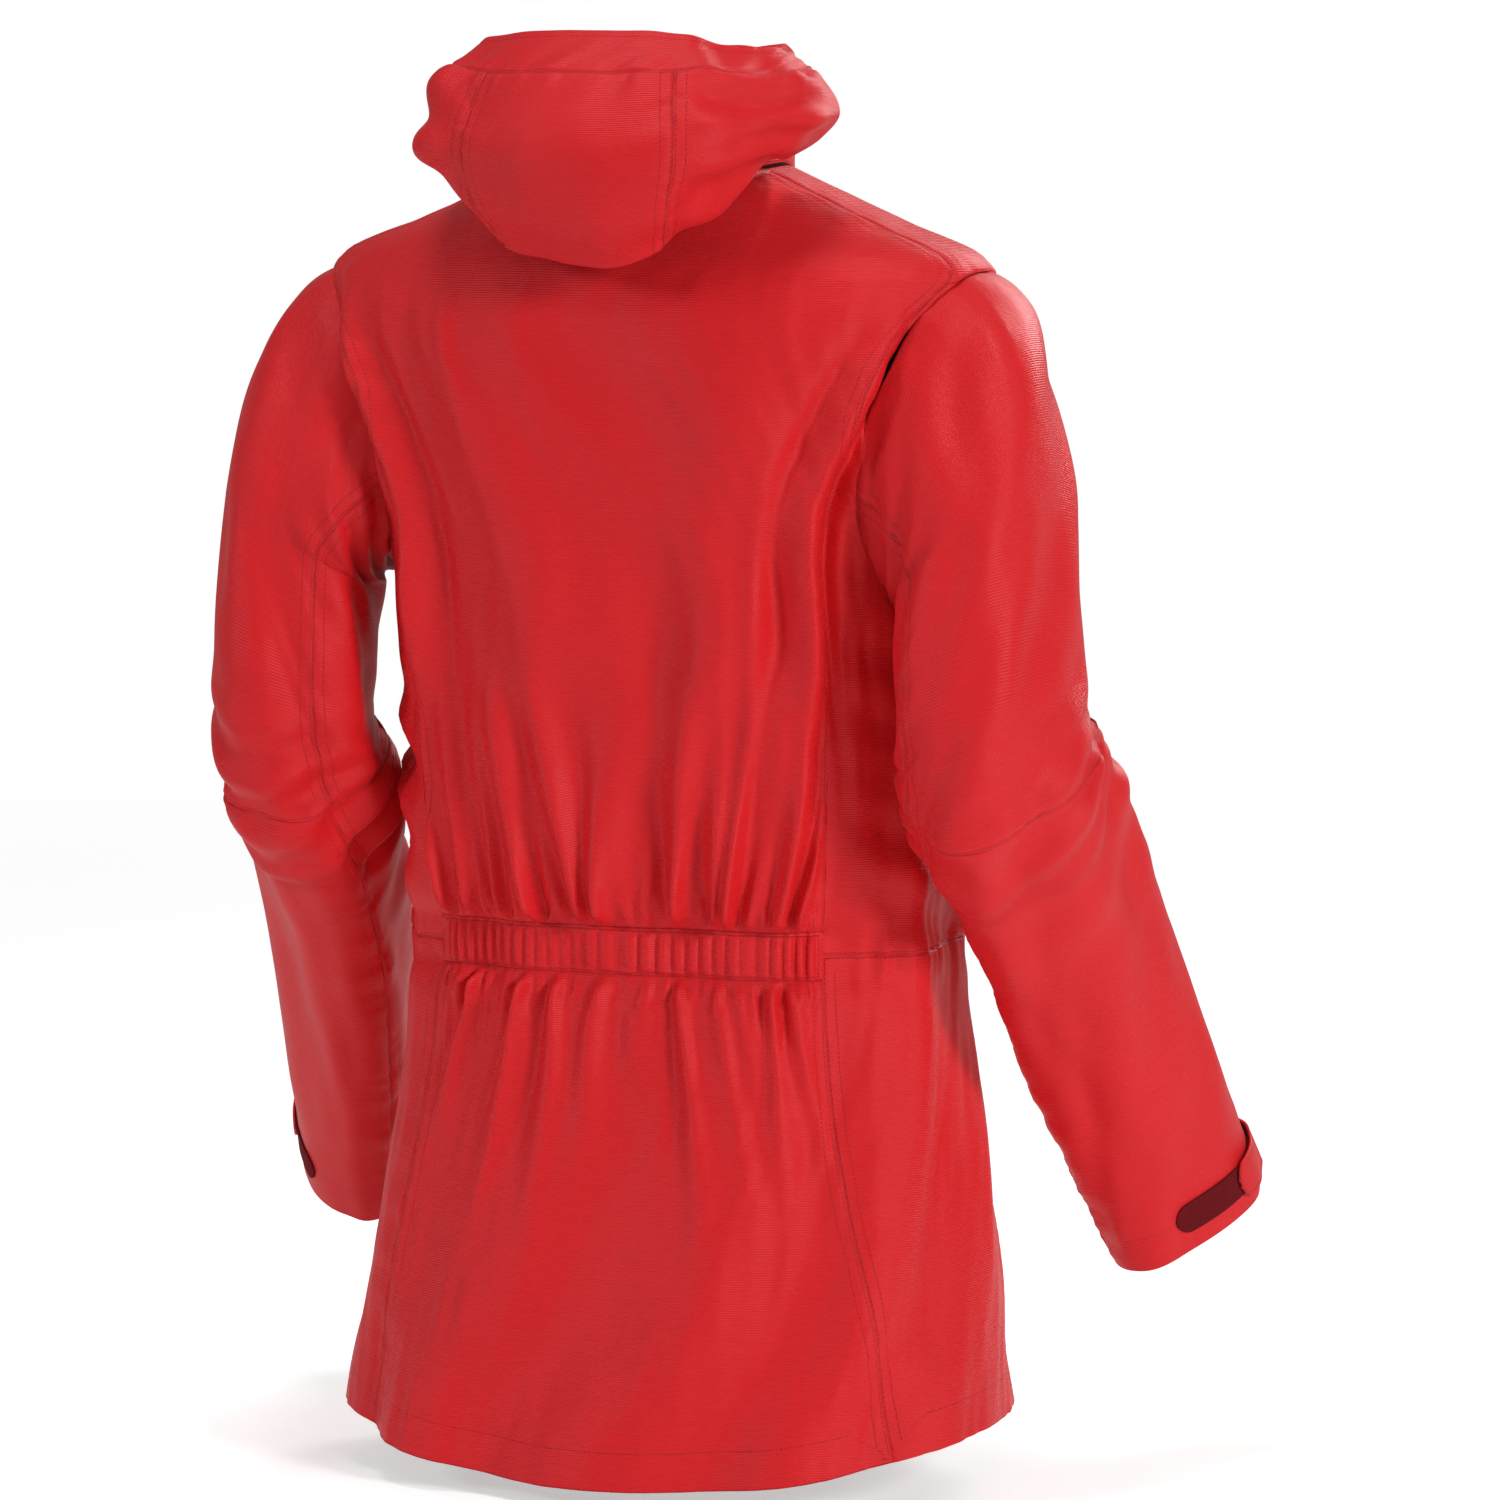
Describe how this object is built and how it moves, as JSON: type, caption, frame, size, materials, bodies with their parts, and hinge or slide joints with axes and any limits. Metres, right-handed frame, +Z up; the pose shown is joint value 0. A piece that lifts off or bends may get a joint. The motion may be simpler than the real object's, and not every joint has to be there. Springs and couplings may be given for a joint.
{
  "type": "hardshell jacket",
  "caption": "Long hooded hardshell jacket with princess seams, gathered back waist, front zip, zipped hand pockets, shaped sleeves and hook-and-loop cuff tabs.",
  "frame": {"origin": "middle of the hanger loop inside the back of the neck", "axes": "+Z up, -Y to the jacket's front, +X to the wearer's left"},
  "size_m": [0.6706, 0.3883, 0.8933],
  "materials": {
    "shell_fabric": "semi-gloss ribbed weave",
    "lining": "matte",
    "elastic": "matte woven tape",
    "zip_tape": "matte woven tape",
    "zip_coil": "moulded coil",
    "zip_metal": "satin",
    "loop_tape": "fuzzy loop"
  },
  "bodies": {
    "shell": {"back_panel_upper": "shell_fabric", "back_panel_lower": "shell_fabric", "waistband_casing": "shell_fabric", "collar_outer": "shell_fabric", "side_panel_lower_left": "shell_fabric", "side_panel_lower_right": "shell_fabric", "side_panel_upper_left": "shell_fabric", "side_panel_upper_right": "shell_fabric", "front_panel_left": "shell_fabric", "front_panel_right": "shell_fabric", "shoulder_yoke_left": "shell_fabric", "shoulder_yoke_right": "shell_fabric", "collar_lining": "lining", "neck_facing": "lining", "hem_facing": "lining", "storm_placket": "lining", "hood_nape": "lining", "pocket_bag_left": "lining", "pocket_bag_right": "lining", "waist_elastic": "elastic", "hanger_loop": "elastic", "zip_tape_left": "zip_tape", "zip_tape_right": "zip_tape", "pocket_zip_tape_left": "zip_tape", "pocket_zip_tape_right": "zip_tape", "zip_coil_left": "zip_coil", "zip_coil_right": "zip_coil", "pocket_zip_coil_left": "zip_coil", "pocket_zip_coil_right": "zip_coil", "zip_bottom_stop": "zip_metal"},
    "upper_sleeve_left": {"sleeve_outer_left": "shell_fabric", "sleeve_under_left": "shell_fabric"},
    "forearm_left": {"forearm_outer_left": "shell_fabric", "forearm_under_left": "shell_fabric", "cuff_facing_left": "lining", "cuff_loop_patch_left": "loop_tape"},
    "cuff_tab_left": {"cuff_tab_left": "shell_fabric"},
    "pocket_slider_left": {"pocket_slider_left": "zip_metal"},
    "pocket_pull_left": {"pocket_pull_left": "zip_metal"},
    "upper_sleeve_right": {"sleeve_outer_right": "shell_fabric", "sleeve_under_right": "shell_fabric"},
    "forearm_right": {"forearm_outer_right": "shell_fabric", "forearm_under_right": "shell_fabric", "cuff_facing_right": "lining", "cuff_loop_patch_right": "loop_tape"},
    "cuff_tab_right": {"cuff_tab_right": "shell_fabric"},
    "pocket_slider_right": {"pocket_slider_right": "zip_metal"},
    "pocket_pull_right": {"pocket_pull_right": "zip_metal"},
    "hood": {"hood_centre_panel": "shell_fabric", "hood_side_left": "shell_fabric", "hood_side_right": "shell_fabric", "hood_rim": "shell_fabric", "hood_lining": "lining"},
    "main_slider": {"main_slider": "zip_metal"},
    "main_pull": {"main_pull": "zip_metal"}
  },
  "joints": [
    {"name": "shoulder_left", "type": "hinge", "parent": "shell", "child": "upper_sleeve_left", "pos_m": [0.213, -0.059, -0.0495], "axis": [0, -1, 0], "range_deg": [0, 45]},
    {"name": "elbow_left", "type": "hinge", "parent": "upper_sleeve_left", "child": "forearm_left", "pos_m": [0.235, -0.05863, -0.35047], "axis": [-1, 0, 0], "range_deg": [0, 40]},
    {"name": "cuff_tab_left", "type": "hinge", "parent": "forearm_left", "child": "cuff_tab_left", "pos_m": [0.29663, -0.27599, -0.6113], "axis": [0.1919, -0.471, -0.861], "range_deg": [0, 100]},
    {"name": "pocket_slider_left", "type": "slide", "parent": "shell", "child": "pocket_slider_left", "axis": [0.0978, -0.066, -0.993], "range_m": [0, 0.139]},
    {"name": "pocket_pull_left", "type": "hinge", "parent": "pocket_slider_left", "child": "pocket_pull_left", "pos_m": [0.15024, -0.17814, -0.50864], "axis": [-0.7579, -0.6517, -0.0313], "range_deg": [0, 140]},
    {"name": "shoulder_right", "type": "hinge", "parent": "shell", "child": "upper_sleeve_right", "pos_m": [-0.213, -0.059, -0.0495], "axis": [0, 1, 0], "range_deg": [0, 45]},
    {"name": "elbow_right", "type": "hinge", "parent": "upper_sleeve_right", "child": "forearm_right", "pos_m": [-0.235, -0.05863, -0.35047], "axis": [-1, 0, 0], "range_deg": [0, 40]},
    {"name": "cuff_tab_right", "type": "hinge", "parent": "forearm_right", "child": "cuff_tab_right", "pos_m": [-0.29663, -0.27599, -0.6113], "axis": [0.1919, 0.471, 0.861], "range_deg": [0, 100]},
    {"name": "pocket_slider_right", "type": "slide", "parent": "shell", "child": "pocket_slider_right", "axis": [-0.0978, -0.066, -0.993], "range_m": [0, 0.139]},
    {"name": "pocket_pull_right", "type": "hinge", "parent": "pocket_slider_right", "child": "pocket_pull_right", "pos_m": [-0.15024, -0.17814, -0.50864], "axis": [-0.7579, 0.6517, 0.0313], "range_deg": [0, 140]},
    {"name": "hood_lift", "type": "hinge", "parent": "shell", "child": "hood", "pos_m": [0, -0.049, 0.016], "axis": [1, 0, 0], "range_deg": [0, 65]},
    {"name": "main_zip", "type": "slide", "parent": "shell", "child": "main_slider", "axis": [0, -0.1093, -0.994], "range_m": [0, 0.784]},
    {"name": "main_pull", "type": "hinge", "parent": "main_slider", "child": "main_pull", "pos_m": [0, -0.15732, 0.02691], "axis": [-1, 0, 0], "range_deg": [0, 140]}
  ]
}
